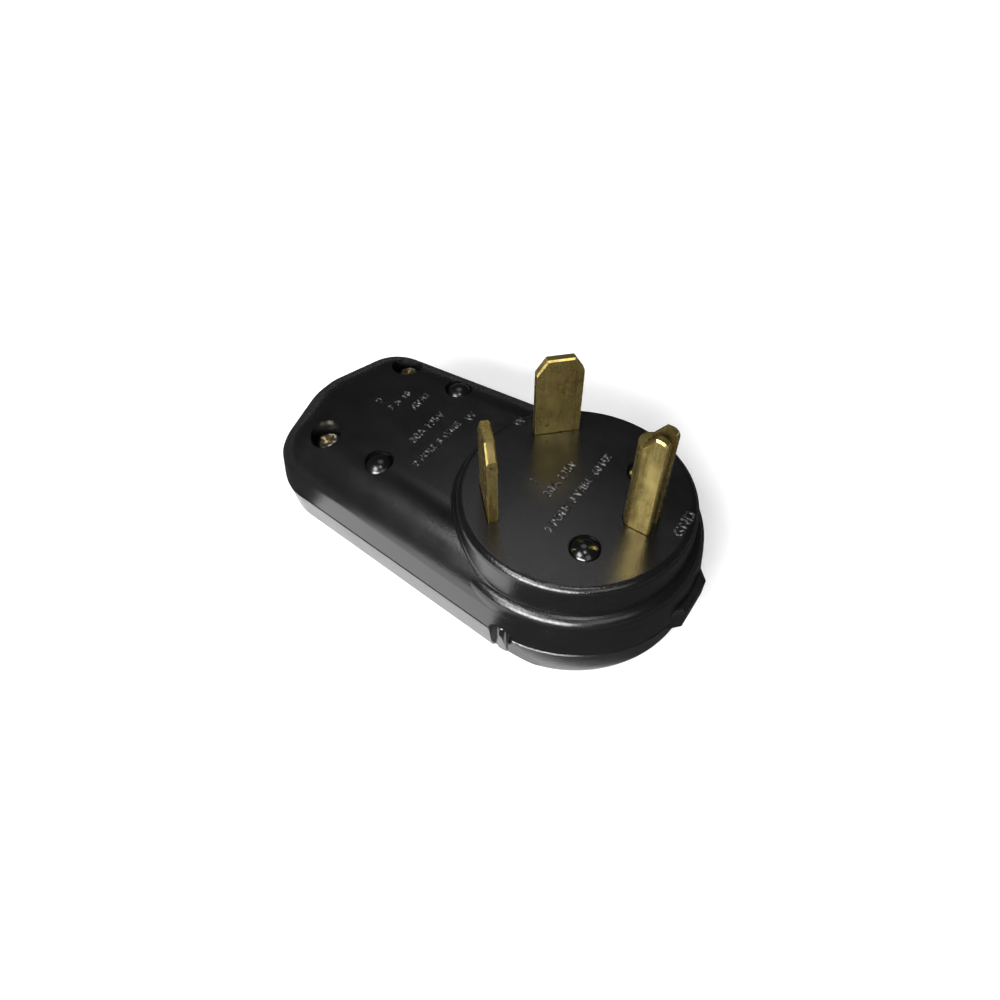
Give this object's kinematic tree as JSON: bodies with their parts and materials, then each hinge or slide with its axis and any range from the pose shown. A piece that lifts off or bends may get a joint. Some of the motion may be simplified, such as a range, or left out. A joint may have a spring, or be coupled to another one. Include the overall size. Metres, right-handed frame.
{
  "type": "plug head",
  "caption": "Rewireable right-angle plug head in a two-shell housing with a raised round face, flat blades, a folded ground pin and a cord entry at the tail.",
  "frame": {"origin": "on the axis of the round contact face, at the flat rear face", "axes": "+Z along the blades and out of the contact face, +X towards the round tip and away from the cord entry"},
  "size_m": [0.0984, 0.0538, 0.0489],
  "materials": {
    "housing": "fine moulded texture, soft gloss",
    "rivet": "smooth, glossy",
    "carrier": "moulded, matt",
    "grip": "moulded, matt",
    "contact": "brushed lengthwise, bevelled edges bright",
    "clamp": "stamped, plain",
    "line_screw": "turned",
    "neutral_screw": "nickel plated",
    "ground_screw": "green finish for the ground terminal",
    "cover_screw": "bright plated",
    "insert": "turned"
  },
  "bodies": {
    "root": {"front_shell": "housing", "rear_cover": "housing", "left_deck_rivet": "rivet", "right_deck_rivet": "rivet", "left_face_rivet": "rivet", "right_face_rivet": "rivet", "contact_carrier": "carrier", "upper_cord_grip": "grip", "lower_cord_grip": "grip", "line_blade": "contact", "neutral_blade": "contact", "ground_pin": "contact", "line_wire_clamp": "clamp", "neutral_wire_clamp": "clamp", "ground_wire_clamp": "clamp", "line_terminal_screw": "line_screw", "neutral_terminal_screw": "neutral_screw", "ground_terminal_screw": "ground_screw", "left_cover_screw": "cover_screw", "right_cover_screw": "cover_screw", "left_screw_insert": "insert", "right_screw_insert": "insert"}
  },
  "joints": []
}
